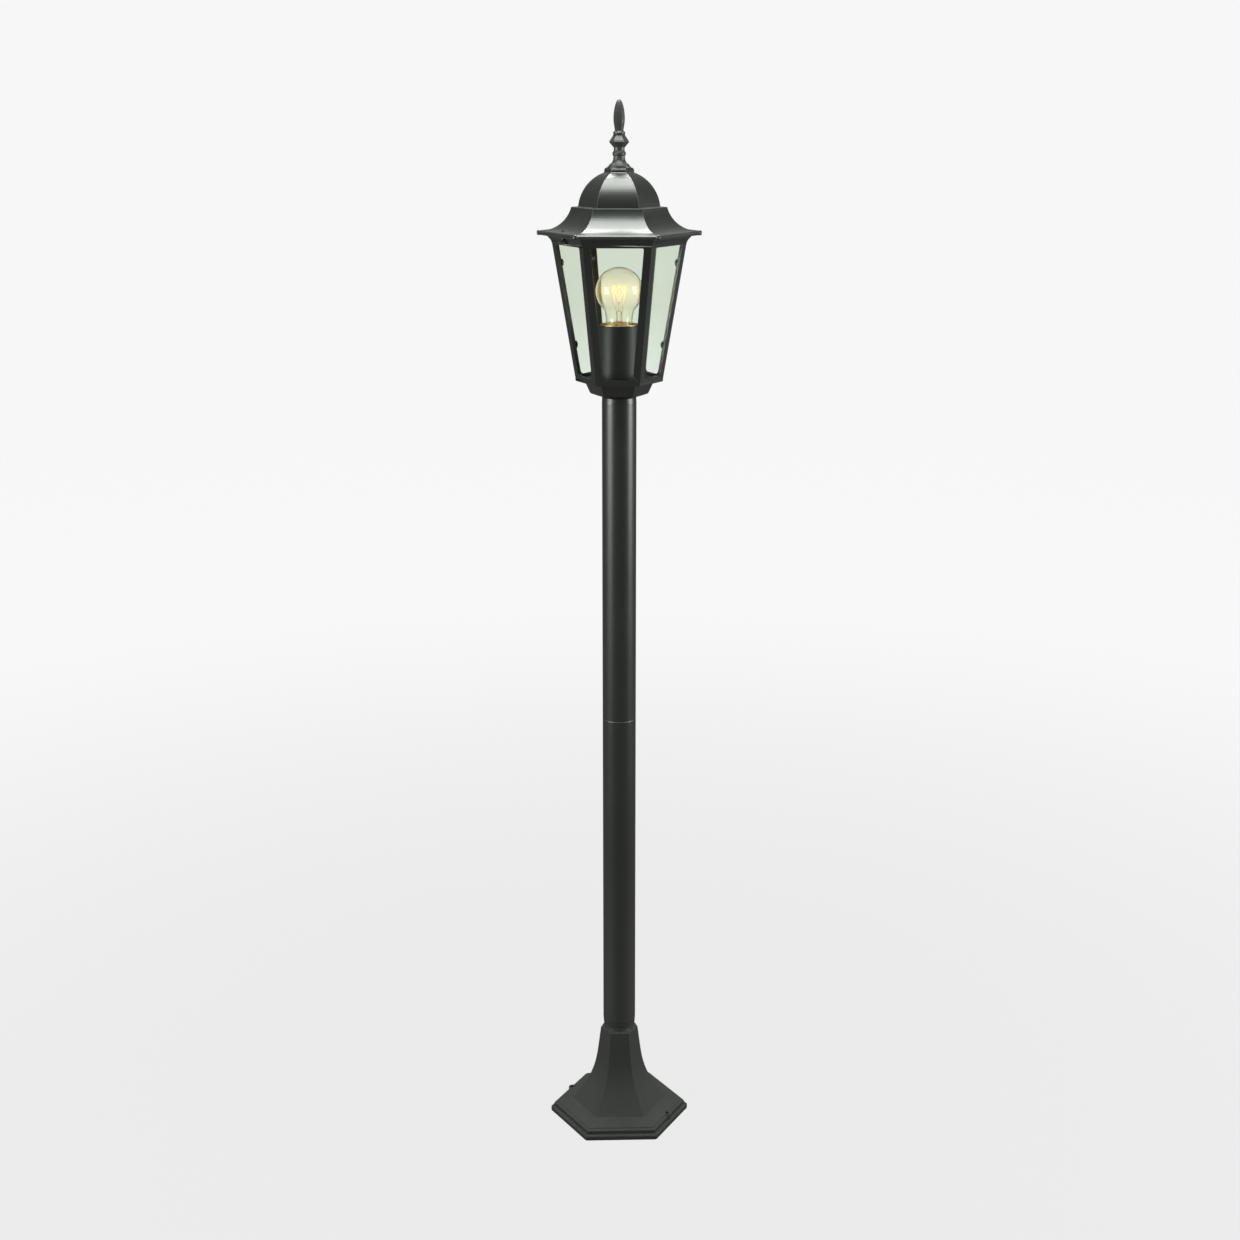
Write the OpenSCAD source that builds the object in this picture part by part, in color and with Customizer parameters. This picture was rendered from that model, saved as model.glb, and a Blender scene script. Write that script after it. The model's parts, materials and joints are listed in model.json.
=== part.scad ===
// Garden post lantern: a hexagonal cast lantern on a round tube post with a flared hexagonal foot.
// Millimetres, +Z up, front towards -Y. The origin is the middle of the foot's underside.
// A threaded rod inside the post pulls the foot, the tubes and the lantern together.
// "af" means across flats, and "r6" is the corner radius of a hexagon.

/* [Foot] */
// Foot across its flats
foot_af = 168.8; // [140:0.1:210]
// Radius of the foot's upright corners
foot_corner_r = 4; // [1:0.5:6]
// Height of the outer lip
lip_h = 6.8; // [5:0.1:10]
// Height of the second tier above the lip
tier_h = 5.8; // [4:0.1:8]
// Width of each of the foot's steps
step_w = 4.4; // [3:0.1:6]
// Wall of the foot casting
foot_wall = 3.6; // [3:0.1:5]
// Column across flats where it leaves the foot
column_foot_af = 114.4; // [95:0.1:130]
// How far the column's top edge stays inside the tube's surface
column_top_inset = 0.05; // [-2:0.05:1]
// Height of the column's top edge
column_h = 130; // [105:1:170]
// Height of the shoulder and neck above the column
neck_h = 8; // [6:0.1:12]
// Distance of an anchor hole from the foot's flat side
anchor_inset = 7.9; // [7:0.1:10]
// Diameter of an anchor hole
anchor_hole_d = 5.8; // [4.5:0.1:6.5]
// Diameter of an anchor boss
anchor_boss_d = 11; // [10:0.1:13]
// Height of an anchor boss above the second tier
anchor_boss_h = 1.8; // [1:0.1:5]

/* [Post] */
// Outer diameter of the tubes
tube_od = 44.5; // [37:0.1:54]
// Wall of the tubes
tube_wall = 1.5; // [1.2:0.1:2.5]
// Length of the lower tube
lower_tube_l = 440; // [300:0.1:600]
// Length of the upper tube
upper_tube_l = 425.2; // [300:0.1:600]
// Height of the collar under the lower tube
lower_collar_h = 10.6; // [8:0.1:16]
// Height of the collar on the upper tube
upper_collar_h = 8.8; // [6:0.1:14]
// Length of each ferrule's spigot in its tube
spigot_l = 30; // [20:1:50]
// Length of the sleeve that joins the tubes
sleeve_l = 80; // [50:1:120]
// Thickness of the rib between the tubes
rib_h = 0.8; // [0.6:0.1:2]
// Diameter of the threaded rod
rod_d = 10; // [8:0.5:10]
// Diameter of the inner lead
lead_d = 7; // [5:0.1:7.5]

/* [Lantern] */
// Turn of the whole lantern on its post, in degrees
head_turn = -3.8; // [-30:0.1:30]
// Height of the cup under the cage
cup_h = 19; // [16:0.1:26]
// Cup across flats at the bottom of its side
cup_foot_af = 65; // [58:0.1:70]
// Cup across flats at its top
cup_top_af = 75; // [72:0.1:88]
// Cage across flats at its sill
cage_foot_af = 97.2; // [92:0.1:120]
// Cage across flats under the cornice
cage_head_af = 146; // [125:0.1:180]
// Height of the cage from its underside to the cornice
cage_side_h = 172.5; // [140:0.1:220]
// Height of the cornice above the cage's side
cornice_h = 11.3; // [9:0.1:15]
// How far the cornice stands out
cornice_out = 5.6; // [4:0.1:7]
// Wall of the cage
cage_wall = 3.6; // [3:0.1:5]
// Width of a corner post on each face
post_w = 9.5; // [8:0.1:12]
// Thickness of the cage's floor
tray_t = 3.5; // [3:0.1:5]
// Height of the windows' lower edge above the cage's underside
sill_h = 7.5; // [7:0.1:12]
// Radius of a window's lower corners
window_corner_r = 6; // [3:0.1:8]
// Thickness of the glass
glass_t = 2; // [1.5:0.1:2.5]

/* [Roof] */
// How far the rim stands out beyond the cornice
eave = 11; // [8:0.1:16]
// Thickness of the rim
rim_t = 5.3; // [4.5:0.1:8]
// Width of the flat band on the rim, corner to corner
band_w = 8.5; // [6:0.1:10]
// Corner radius of the skirt's sharp top edge
skirt_top_r6 = 60; // [54:0.1:64]
// Width of the ledge between skirt and dome
ledge_w = 8.6; // [6:0.1:11]
// Radius of the dome's curve
dome_curve_r = 49.2; // [44:0.1:55]
// Wall of the roof
roof_wall = 3; // [2.5:0.1:4]
// Distance of a roof screw outside the cage's head
roof_screw_out = 3.5; // [3:0.1:6]
// Diameter of a roof screw
roof_screw_d = 4; // [3:0.5:4]

/* [Finial] */
// Height of the finial
finial_h = 80.5; // [66:0.5:100]
// Radius of the finial's bell
bell_r = 12.45; // [10:0.05:15]
// Radius of the finial's foot
finial_foot_r = 13.1; // [12:0.1:15]

/* [Lamp] */
// Diameter of the bulb
bulb_d = 60; // [50:0.5:70]
// Height of the middle of the bulb above its contact
bulb_mid_h = 75; // [66:0.5:85]
// Outer diameter of the shroud
shroud_od = 53.6; // [53:0.1:62]
// Height of the shroud
shroud_h = 68.5; // [62:0.5:80]
// Diameter of the screw cap
cap_d = 26.2; // [26:0.1:26.4]

/* [Hidden] */
$fn = 96;

// Colours
cast_black = [0.13, 0.14, 0.13];
tube_black = [0.15, 0.16, 0.15];
holder_black = [0.10, 0.10, 0.11];
zinc = [0.72, 0.73, 0.74];
brass = [0.80, 0.62, 0.30];
clear_glass = [0.80, 0.90, 0.82, 0.35];
white_plastic = [0.90, 0.90, 0.87];

// Fits between pieces
slip = 0.05;            // spigots and the sleeve in the tubes
rod_gap = 0.25;         // rod in its holes, all round
lead_gap = 0.5;         // lead in its holes, all round
screw_gap = 0.1;        // roof screws in their lugs, all round
roof_lip_gap = 0.8;     // roof lip inside the cage
bulb_gap = 0.2;         // bulb contact over the centre contact
shell_gap = 0.3;        // cap in the threaded shell, all round
bore_cut = 0.5;         // how far a cut runs past a face

// Sizes that follow a neighbour
anchor_pcd = foot_af - 2 * anchor_inset;
column_top_af = tube_od - 2 * column_top_inset;
rim_af = cage_head_af + 2 * (cornice_out + eave);
roof_screw_r = cage_head_af / 2 + roof_screw_out;

// Heights up the post
base_h = column_h + neck_h;
lower_tube_z = base_h + lower_collar_h;
rib_z = lower_tube_z + lower_tube_l;
upper_tube_z = rib_z + rib_h;
upper_collar_z = upper_tube_z + upper_tube_l;
cup_z = upper_collar_z + upper_collar_h;
cage_z = cup_z + cup_h;
tray_z = cage_z + tray_t;
cornice_z = cage_z + cage_side_h;
roof_z = cornice_z + cornice_h;
rim_top_z = roof_z + rim_t;

// Post and rod
tube_id = tube_od - 2 * tube_wall;
spigot_d = tube_id - 2 * slip;
sleeve_wall = 1.8;
nut_af = 1.7 * rod_d;
nut_h = 0.8 * rod_d;
washer_d = 2 * rod_d;
washer_t = 2;
lead_x = washer_d / 2 + lead_d / 2 + 0.75;
earth_screw_d = 4;
earth_head_r = 3.4;
earth_x = washer_d / 2 + earth_head_r + 1;
hub_t = 18;
hub_z = base_h - hub_t;
bracket_t = 2;
rod_end = 4;
lower_nut_z = hub_z - bracket_t - washer_t - nut_h;
rod_z = lower_nut_z - rod_end;
cup_floor_t = 4;
upper_washer_z = cup_z + cup_floor_t;
upper_nut_z = upper_washer_z + washer_t;
rod_top_z = upper_nut_z + nut_h + rod_end;

// Column flare, a curve through these handles: [r6, z]
column_foot = [column_foot_af / 2 / cos(30), lip_h + tier_h + 7];
column_top = [column_top_af / 2 / cos(30), column_h];
flare = [
    column_foot,
    [column_top[0] + 5.1, column_foot[1] + 0.394 * (column_h - column_foot[1])],
    [column_top[0] + 7.3, column_foot[1] + 0.517 * (column_h - column_foot[1])],
    column_top
];
anchor_boss_foot = 0.6;
anchor_boss_top = lip_h + tier_h + anchor_boss_h;
tier_af = foot_af - 2 * step_w;
slope_af = tier_af - 1.9 * step_w;

// Terminal bracket, in the column
leg_y = 14;
leg_w = 20;
leg_z = 34;
block_size = [30, 13.5, 26];
block_z = leg_z + 20;
block_bolt_d = 3;
block_ways = [-9, 0, 9];
block_way_d = 4.4;
lead_foot_z = block_z + block_size[2];
grommet_hole_r = 4.25;
grommet_h = 8;

// Cage faces lean outwards by this angle
face_rise = cage_side_h - tray_t - 0.5;
face_run = (cage_head_af - cage_foot_af) / 2;
lean = atan(face_run / face_rise);
sill_z = cage_z + tray_t + 0.5;
face_len = face_rise / cos(lean);
window_low = (sill_h - tray_t - 0.5) / cos(lean);
window_high = face_len;
glass_lap = 4;
glass_depth = cage_wall + glass_t;
clip_t = 0.8;
clip_h = 8;
clip_w = 5;
clip_places = [0.25, 0.86];
clip_screw_r = 1.2;
clip_screw_reach = 5;
clip_seat = 2.4;
cage_screw_r = 30.6;
cage_screw_d = 4;
tray_hole_r = 14;

// Roof curves
rim_r6 = rim_af / 2 / cos(30);
band_r6 = rim_r6 - band_w;
skirt_lead = 3;
skirt_cx = band_r6 + skirt_lead;
skirt_r = 1.037 * (skirt_cx - skirt_top_r6);
skirt_cz = rim_top_z + skirt_r;
ledge_z = skirt_cz - skirt_r * cos(asin((skirt_cx - skirt_top_r6) / skirt_r));
dome_r6 = skirt_top_r6 - ledge_w;
dome_cx = dome_r6 - dome_curve_r * cos(6);
dome_cz = ledge_z - dome_curve_r * sin(6) + 0.5;
dome_top_r6 = 21.4;
dome_top_z = dome_cz + dome_curve_r * sin(acos((dome_top_r6 - dome_cx) / dome_curve_r));
boss_z = dome_top_z + 6.8;
seat_z = boss_z + 1.5;
ceiling_z = dome_top_z - 2.5;
lip_drop = 4.5;
lip_t = 2.5;
cage_inner_top_a = cage_head_af / 2 + (cornice_h - lip_drop) * tan(lean) - cage_wall / cos(lean);
lip_a = cage_inner_top_a - roof_lip_gap;
roof_mouth_a = lip_a - lip_t;
lug_r = 4.6;
lug_h = 9;
pocket_r = 4.4;
roof_screw_len = 12;
stud_r = 3;
stud_drop = 16;
finial_nut_h = 5;

// Lamp heights
plate_z = tray_z + 15.5;
plate_t = 1.5;
holder_screw_y = 19.6;
holder_screw_d = 3;
holder_z = plate_z + plate_t;
socket_floor_z = holder_z + 9;
bulb_z = socket_floor_z + 9.8;
holder_h = 43.5;
holder_r = 20;
shell_r = cap_d / 2 + shell_gap;
shell_t = 0.7;
shroud_r = shroud_od / 2;
shroud_t = 2;
ring_top_z = tray_z + shroud_h + 0.5;
cap_z = bulb_z + 6;
cap_top_z = bulb_z + 27;
bulb_mid_z = bulb_z + bulb_mid_h;
bulb_r = bulb_d / 2;
neck_r = 16.8;
neck_z = bulb_z + 33;
envelope_t = 0.8;
stem_top_z = bulb_z + 50;
filament_z = bulb_mid_z + 1;
filament_r = 8;

// The lead's route: out of the terminal block, straight up the post and into the lampholder
lead_foot_x = 11;
lead_foot_y = 7;
lead_bend_top_z = rod_z - 3;
lead_points = concat(
    [for (t = [0 : 0.2 : 1])
        [lead_foot_x + (lead_x - lead_foot_x) * ease(t),
         lead_foot_y * (1 - ease(t)),
         lead_foot_z + (lead_bend_top_z - lead_foot_z) * t]],
    [for (k = [1 : 60])
        [lead_x, 0, lead_bend_top_z + (holder_z - lead_bend_top_z) * k / 60]]
);

// ---------- curves ----------
function ease(t) = t * t * (3 - 2 * t);

function bezier(p, t) =
    pow(1 - t, 3) * p[0] + 3 * pow(1 - t, 2) * t * p[1] + 3 * (1 - t) * t * t * p[2] + pow(t, 3) * p[3];

function bezier_points(p, n) = [for (i = [0 : n]) bezier(p, i / n)];

function arc(c, r, a0, a1, n) =
    [for (i = [0 : n]) let (a = a0 + (a1 - a0) * i / n) [c[0] + r * cos(a), c[1] + r * sin(a)]];

// Corner radii turned into half widths across flats
function flats(points) = [for (p = points) [p[0] * cos(30), p[1]]];

function unit(v) = v / norm(v);

// A closed outline with each corner rounded: corners is a list of [x, y, radius]
function rounded(corners, n = 6) = [
    for (i = [0 : len(corners) - 1])
        let (
            m = len(corners),
            p = [corners[i][0], corners[i][1]],
            a = [corners[(i + m - 1) % m][0], corners[(i + m - 1) % m][1]],
            b = [corners[(i + 1) % m][0], corners[(i + 1) % m][1]],
            u = unit(a - p),
            v = unit(b - p),
            half = acos(u * v) / 2,
            r = corners[i][2],
            c = p + unit(u + v) * r / sin(half),
            from = p + u * r / tan(half) - c,
            to = p + v * r / tan(half) - c,
            a0 = atan2(from[1], from[0]),
            turn = (atan2(to[1], to[0]) - a0 + 540) % 360 - 180
        )
        for (k = [0 : n]) c + r * [cos(a0 + turn * k / n), sin(a0 + turn * k / n)]
];

// ---------- shared shapes ----------

// A six-sided turned form. The profile lists [half width across flats, z] from bottom to top.
module hex_turn(profile) {
    outline = concat(profile, [for (i = [len(profile) - 1 : -1 : 0]) [-profile[i][0], profile[i][1]]]);
    reach = 2 * max([for (p = profile) p[0]]);
    intersection_for (face = [0 : 2])
        rotate([0, 0, 30 + 60 * face])
            rotate([90, 0, 0])
                linear_extrude(height = 2 * reach, center = true)
                    polygon(outline);
}

module hex_plate(af, h) {
    cylinder(r = af / 2 / cos(30), h = h, $fn = 6);
}

// The corner cuts of a hexagon: what lies inside them has upright corners of radius r, made of
// five narrow flats each
module corner_cuts(af, h, r) {
    corner = (af / 2 - r) / cos(30);
    intersection_for (turn = [-24 : 12 : 24])
        rotate([0, 0, turn - 30])
            hex_plate(2 * (corner * cos(turn) + r), h);
}

// A round turned form from a profile of [r, z] that starts and ends on the axis or is closed
module turned(profile) {
    rotate_extrude()
        polygon(profile);
}

// A short round bead with softened ends
module bead(r, h) {
    turned([[0, 0], [0.55 * r, 0], [0.85 * r, 0.12 * h], [r, 0.35 * h], [r, 0.65 * h],
            [0.85 * r, 0.88 * h], [0.55 * r, h], [0, h]]);
}

module ring(r_out, r_in, h) {
    difference() {
        cylinder(r = r_out, h = h);
        translate([0, 0, -bore_cut])
            cylinder(r = r_in, h = h + 2 * bore_cut);
    }
}

module head() {
    rotate([0, 0, head_turn])
        children();
}

// Puts its children on one leaning face: +X out of the face, +Y along it, +Z up the slope
module on_face(i) {
    rotate([0, 0, 30 + 60 * i])
        translate([cage_foot_af / 2, 0, sill_z])
            rotate([0, lean, 0])
                children();
}

// Half the face's width at a distance up the slope, and at a depth behind the face
function face_half(s, depth = 0) =
    (cage_foot_af / 2 + s * sin(lean) - depth / cos(lean)) * tan(30);

// The two roof screws stand on opposite faces
module at_roof_screws() {
    for (a = [30, 210])
        rotate([0, 0, a])
            translate([roof_screw_r, 0, 0])
                children();
}

module at_cage_screws() {
    for (a = [90, 210, 330])
        rotate([0, 0, a])
            translate([cage_screw_r, 0, 0])
                children();
}

module rod_hole(z, h) {
    translate([0, 0, z - bore_cut])
        cylinder(d = rod_d + 2 * rod_gap, h = h + 2 * bore_cut);
}

module lead_hole(z, h) {
    translate([lead_x, 0, z - bore_cut])
        cylinder(d = lead_d + 2 * lead_gap, h = h + 2 * bore_cut);
}

module hex_nut(af, h, hole_d) {
    difference() {
        intersection() {
            hex_plate(af, h);
            turned([[0, 0], [af / 2, 0], [af / 2 / cos(30), 0.8], [af / 2 / cos(30), h - 0.8],
                    [af / 2, h], [0, h]]);
        }
        translate([0, 0, -bore_cut])
            cylinder(d = hole_d, h = h + 2 * bore_cut);
    }
}

// A pan-head screw that points down, with its head's underside at z = 0
module pan_screw(d, length, head_r, head_h) {
    difference() {
        union() {
            translate([0, 0, -length])
                cylinder(d = d, h = length);
            turned([[0, 0], [head_r, 0], [head_r, 0.5 * head_h], [0.8 * head_r, 0.9 * head_h],
                    [0.5 * head_r, head_h], [0, head_h]]);
        }
        translate([0, 0, head_h])
            cube([2.4 * head_r, 0.9, head_h], center = true);
    }
}

module wire(p, q, r) {
    v = q - p;
    translate(p)
        rotate([0, acos(v[2] / norm(v)), atan2(v[1], v[0])])
            cylinder(r = r, h = norm(v), $fn = 24);
}

// ---------- foot ----------

function foot_lip() = [
    [foot_af / 2, 0], [foot_af / 2, lip_h - 1.6], [foot_af / 2 - 0.7, lip_h - 0.5], [foot_af / 2 - 2, lip_h]
];

function foot_outline() = concat(
    [[tier_af / 2 - 1, lip_h - 2], [tier_af / 2 + 0.2, lip_h - 1], [tier_af / 2 + 0.2, lip_h + 0.4]],
    [[tier_af / 2, lip_h + 0.8], [tier_af / 2, lip_h + tier_h - 1.4]],
    [[tier_af / 2 - 0.5, lip_h + tier_h - 0.4], [tier_af / 2 - 1.4, lip_h + tier_h]],
    [[slope_af / 2 + 1, lip_h + tier_h + 0.5], [slope_af / 2, lip_h + tier_h + 2.2]],
    flats(bezier_points(flare, 24)),
    [[column_top_af / 2 - 0.5, column_h + 0.5], [column_top_af / 2 - 4.4, base_h - 0.5]]
);

function foot_hollow() = concat(
    [[tier_af / 2 - foot_wall, -bore_cut], [tier_af / 2 - foot_wall, lip_h]],
    [[slope_af / 2 - foot_wall, lip_h + tier_h - foot_wall + 1]],
    [for (p = flats(bezier_points(flare, 16))) if (p[1] < hub_z - 2) [p[0] - foot_wall, p[1] - 2]],
    [[column_top_af / 2 - foot_wall + 1.6, hub_z - 3], [column_top_af / 2 - foot_wall + 1.6, hub_z]]
);

module base_casting() {
    neck_foot_z = column_h + 1;
    color(cast_black)
        difference() {
            union() {
                intersection() {
                    hex_turn(foot_lip());
                    corner_cuts(foot_af, lip_h, foot_corner_r);
                }
                hex_turn(foot_outline());
                translate([0, 0, neck_foot_z])
                    rotate([0, 0, 45])
                        cylinder(r = tube_od / 2 - 1.3, h = base_h - neck_foot_z);
                for (a = [150, 330])
                    rotate([0, 0, a])
                        translate([anchor_pcd / 2, 0, anchor_boss_foot])
                            cylinder(d = anchor_boss_d, h = anchor_boss_top - anchor_boss_foot);
            }
            difference() {
                hex_turn(foot_hollow());
                for (a = [150, 330])
                    rotate([0, 0, a])
                        translate([anchor_pcd / 2, 0, -1])
                            cylinder(d = anchor_boss_d - 1, h = column_h);
            }
            rod_hole(hub_z, hub_t);
            lead_hole(hub_z, hub_t);
            for (a = [150, 330])
                rotate([0, 0, a])
                    translate([anchor_pcd / 2, 0, -bore_cut])
                        cylinder(d = anchor_hole_d, h = column_h);
            // tapped hole for the earth screw, in the hub's underside
            translate([-earth_x, 0, hub_z - bore_cut])
                cylinder(d = earth_screw_d + 2 * slip, h = 9);
        }
}

// ---------- post ----------

module ferrule(r_low, r_high, h) {
    edge = 1.2;
    turned([[0, 0], [r_low - edge, 0], [r_low, edge], [r_high, h - 0.3], [r_high - 0.3, h], [0, h]]);
}

module lower_ferrule() {
    color(cast_black)
        difference() {
            union() {
                translate([0, 0, base_h])
                    ferrule(tube_od / 2 - 0.6, tube_od / 2, lower_collar_h);
                translate([0, 0, lower_tube_z])
                    cylinder(d = spigot_d, h = spigot_l);
            }
            rod_hole(base_h, lower_collar_h + spigot_l);
            lead_hole(base_h, lower_collar_h + spigot_l);
        }
}

module lower_tube() {
    color(tube_black)
        translate([0, 0, lower_tube_z])
            ring(tube_od / 2, tube_id / 2, lower_tube_l);
}

module joint_sleeve() {
    color(zinc)
        difference() {
            union() {
                translate([0, 0, rib_z + rib_h / 2 - sleeve_l / 2])
                    cylinder(d = spigot_d, h = sleeve_l);
                translate([0, 0, rib_z])
                    cylinder(r = tube_od / 2 - 0.45, h = rib_h);
            }
            translate([0, 0, rib_z - sleeve_l])
                cylinder(r = spigot_d / 2 - sleeve_wall, h = 2 * sleeve_l);
        }
}

module upper_tube() {
    color(tube_black)
        translate([0, 0, upper_tube_z])
            ring(tube_od / 2, tube_id / 2, upper_tube_l);
}

module upper_ferrule() {
    color(cast_black)
        difference() {
            union() {
                translate([0, 0, cup_z])
                    mirror([0, 0, 1])
                        ferrule(tube_od / 2 - 0.3, tube_od / 2, upper_collar_h);
                translate([0, 0, upper_collar_z - spigot_l])
                    cylinder(d = spigot_d, h = spigot_l);
            }
            rod_hole(upper_collar_z - spigot_l, upper_collar_h + spigot_l);
            lead_hole(upper_collar_z - spigot_l, upper_collar_h + spigot_l);
        }
}

module tie_rod() {
    color(zinc)
        translate([0, 0, rod_z])
            turned([[0, 0], [rod_d / 2 - 1, 0], [rod_d / 2, 1], [rod_d / 2, rod_top_z - rod_z - 1],
                    [rod_d / 2 - 1, rod_top_z - rod_z], [0, rod_top_z - rod_z]]);
}

module rod_nuts() {
    color(zinc)
        for (z = [lower_nut_z, upper_nut_z])
            translate([0, 0, z])
                hex_nut(nut_af, nut_h, rod_d);
}

module rod_washers() {
    color(zinc)
        for (z = [lower_nut_z + nut_h, upper_washer_z])
            translate([0, 0, z])
                ring(washer_d / 2, rod_d / 2 + rod_gap, washer_t);
}

// ---------- wiring in the foot ----------

module terminal_bracket() {
    color(zinc)
        difference() {
            union() {
                translate([-leg_w / 2, -washer_d / 2, hub_z - bracket_t])
                    cube([leg_w, washer_d / 2 + leg_y + bracket_t, bracket_t]);
                translate([-leg_w / 2, leg_y, leg_z])
                    cube([leg_w, bracket_t, hub_z - leg_z]);
                translate([-leg_w / 2, -8, leg_z - bracket_t])
                    cube([leg_w, 8 + leg_y + bracket_t, bracket_t]);
            }
            rod_hole(hub_z - bracket_t, bracket_t);
            translate([lead_x, 0, hub_z - bracket_t - bore_cut])
                cylinder(d = lead_d + 4, h = bracket_t + 2 * bore_cut);
            translate([0, 0, leg_z - bracket_t - bore_cut])
                cylinder(r = grommet_hole_r + 1.5, h = bracket_t + 2 * bore_cut);
            translate([0, leg_y - bore_cut, block_z + block_size[2] / 2])
                rotate([-90, 0, 0])
                    cylinder(d = block_bolt_d + 2 * slip, h = bracket_t + 2 * bore_cut);
        }
}

module terminal_block() {
    color(white_plastic)
        difference() {
            translate([-block_size[0] / 2, leg_y - block_size[1], block_z])
                cube(block_size);
            // fixing bolt
            translate([0, leg_y - block_size[1] - bore_cut, block_z + block_size[2] / 2])
                rotate([-90, 0, 0])
                    cylinder(d = block_bolt_d + 2 * slip, h = block_size[1] + 2 * bore_cut);
            // ways for the supply wires, from below
            for (x = block_ways)
                translate([x, leg_y - block_size[1] / 2, block_z - bore_cut])
                    cylinder(d = block_way_d, h = 8);
            // wells for the clamping screws
            for (x = block_ways, z = [5, block_size[2] - 5])
                translate([x, leg_y - block_size[1] - bore_cut, block_z + z])
                    rotate([-90, 0, 0])
                        cylinder(d = block_way_d, h = 4.5);
        }
}

module terminal_screws() {
    color(brass)
        for (x = block_ways, z = [5, block_size[2] - 5])
            translate([x, leg_y - block_size[1] + 4 - 2.4, block_z + z])
                rotate([-90, 0, 0])
                    difference() {
                        cylinder(d = 4, h = 2.4);
                        translate([-3, -0.4, -1])
                            cube([6, 0.8, 1.8]);
                    }
}

module bracket_bolt() {
    color(zinc)
        translate([0, leg_y - block_size[1], block_z + block_size[2] / 2])
            rotate([90, 0, 0])
                difference() {
                    union() {
                        translate([0, 0, -block_size[1] - bracket_t - 3])
                            cylinder(d = block_bolt_d, h = block_size[1] + bracket_t + 3);
                        cylinder(d = 5.6, h = 2);
                    }
                    translate([-4, -0.4, 1])
                        cube([8, 0.8, 2]);
                }
}

module earth_screw() {
    color(brass)
        translate([-earth_x, 0, hub_z])
            rotate([180, 0, 0])
                pan_screw(earth_screw_d, 8, earth_head_r, 2.4);
}

module cable_grommet() {
    color(holder_black)
        translate([0, 0, leg_z - bracket_t / 2])
            difference() {
                union() {
                    translate([0, 0, -grommet_h / 2])
                        cylinder(r = grommet_hole_r + 1.5, h = grommet_h);
                    for (side = [0, 1])
                        mirror([0, 0, side])
                            translate([0, 0, bracket_t / 2])
                                turned([[0, 0], [grommet_hole_r + 3.2, 0], [grommet_hole_r + 3.2, 1.4],
                                        [grommet_hole_r + 2, 3], [0, 3]]);
                }
                translate([0, 0, -grommet_h])
                    cylinder(r = grommet_hole_r, h = 2 * grommet_h);
            }
}

// The lead is one tube swept along its route, with flat rings at both ends
module inner_lead() {
    sides = 10;
    n = len(lead_points);
    rings = [
        for (p = lead_points, k = [0 : sides - 1])
            p + lead_d / 2 * [cos(360 * k / sides), sin(360 * k / sides), 0]
    ];
    walls = [
        for (i = [0 : n - 2], k = [0 : sides - 1])
            let (m = (k + 1) % sides)
                [i * sides + k, (i + 1) * sides + k, (i + 1) * sides + m, i * sides + m]
    ];
    color(holder_black)
        polyhedron(
            points = rings,
            faces = concat(walls, [[for (k = [0 : sides - 1]) k]],
                           [[for (k = [sides - 1 : -1 : 0]) (n - 1) * sides + k]])
        );
}

// ---------- lantern body ----------

function cup_outline() = [
    [tube_od / 2 + 1, cup_z],
    [cup_foot_af / 2 - 1.2, cup_z + 3],
    [cup_foot_af / 2, cup_z + 4.2],
    [cup_top_af / 2 - 0.4, cage_z - 3.2],
    [cup_top_af / 2, cage_z - 2.4],
    [cup_top_af / 2, cage_z]
];

module lantern_cup() {
    cup_wall = 3;
    color(cast_black)
        difference() {
            head()
                difference() {
                    hex_turn(cup_outline());
                    difference() {
                        hex_turn([[cup_foot_af / 2 - cup_wall, cup_z + cup_floor_t],
                                  [cup_top_af / 2 - cup_wall, cage_z + bore_cut]]);
                        at_cage_screws()
                            translate([0, 0, cup_z])
                                cylinder(r = 3.8, h = cup_h + 1);
                    }
                    at_cage_screws()
                        translate([0, 0, cage_z - 9])
                            cylinder(d = cage_screw_d + 2 * slip, h = 10);
                }
            rod_hole(cup_z, cup_floor_t);
            lead_hole(cup_z, cup_floor_t);
        }
}

function cage_outline() = concat(
    [[cage_foot_af / 2 - 0.6, cage_z], [cage_foot_af / 2, cage_z + 1.4], [cage_foot_af / 2, sill_z]],
    [[cage_head_af / 2, cornice_z]],
    [for (t = [0.1 : 0.15 : 1])
        [cage_head_af / 2 + 0.4 + (cornice_out - 0.4) * (1 - cos(90 * t)),
         cornice_z + 1 + (cornice_h - 2.6) * t]],
    [[cage_head_af / 2 + cornice_out, roof_z - 1.4], [cage_head_af / 2 + cornice_out, roof_z]]
);

function cage_hollow() = [
    [cage_foot_af / 2 - cage_wall / cos(lean) + (tray_z - sill_z) * tan(lean), tray_z],
    [cage_head_af / 2 - cage_wall / cos(lean) + (cornice_h + bore_cut) * tan(lean), roof_z + bore_cut]
];

module window_outline() {
    lower = face_half(window_low) - post_w;
    upper = face_half(window_high) - post_w;
    polygon(rounded([[lower, window_low, window_corner_r], [upper, window_high, 2],
                     [-upper, window_high, 2], [-lower, window_low, window_corner_r]]));
}

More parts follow.
